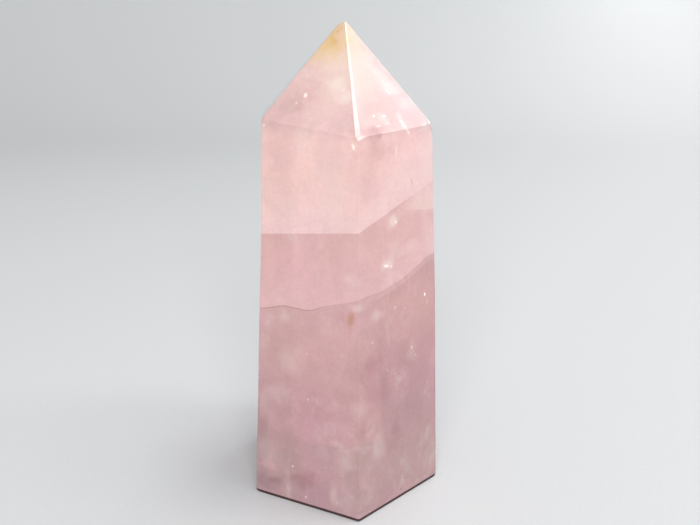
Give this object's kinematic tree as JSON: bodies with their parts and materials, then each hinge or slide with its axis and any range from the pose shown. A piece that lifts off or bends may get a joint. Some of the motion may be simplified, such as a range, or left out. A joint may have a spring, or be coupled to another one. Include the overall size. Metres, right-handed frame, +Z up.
{
  "type": "rose quartz point",
  "caption": "Polished rose quartz point: a tapering six-sided tower of milky pink stone with a faceted tip, standing on a flat sawn base.",
  "frame": {"origin": "centre of the stone's outline, on the flat base that it stands on", "axes": "+Z up along the stone to its tip, -Y towards the longest upright arris, +X to the right as that arris is faced"},
  "size_m": [0.0602, 0.0668, 0.142],
  "materials": {
    "rose_quartz": "polished, milky and see-through only a little, pale pink with white veils and a rusty stain near the tip"
  },
  "bodies": {
    "root": {"rose_quartz_point": "rose_quartz"}
  },
  "joints": []
}
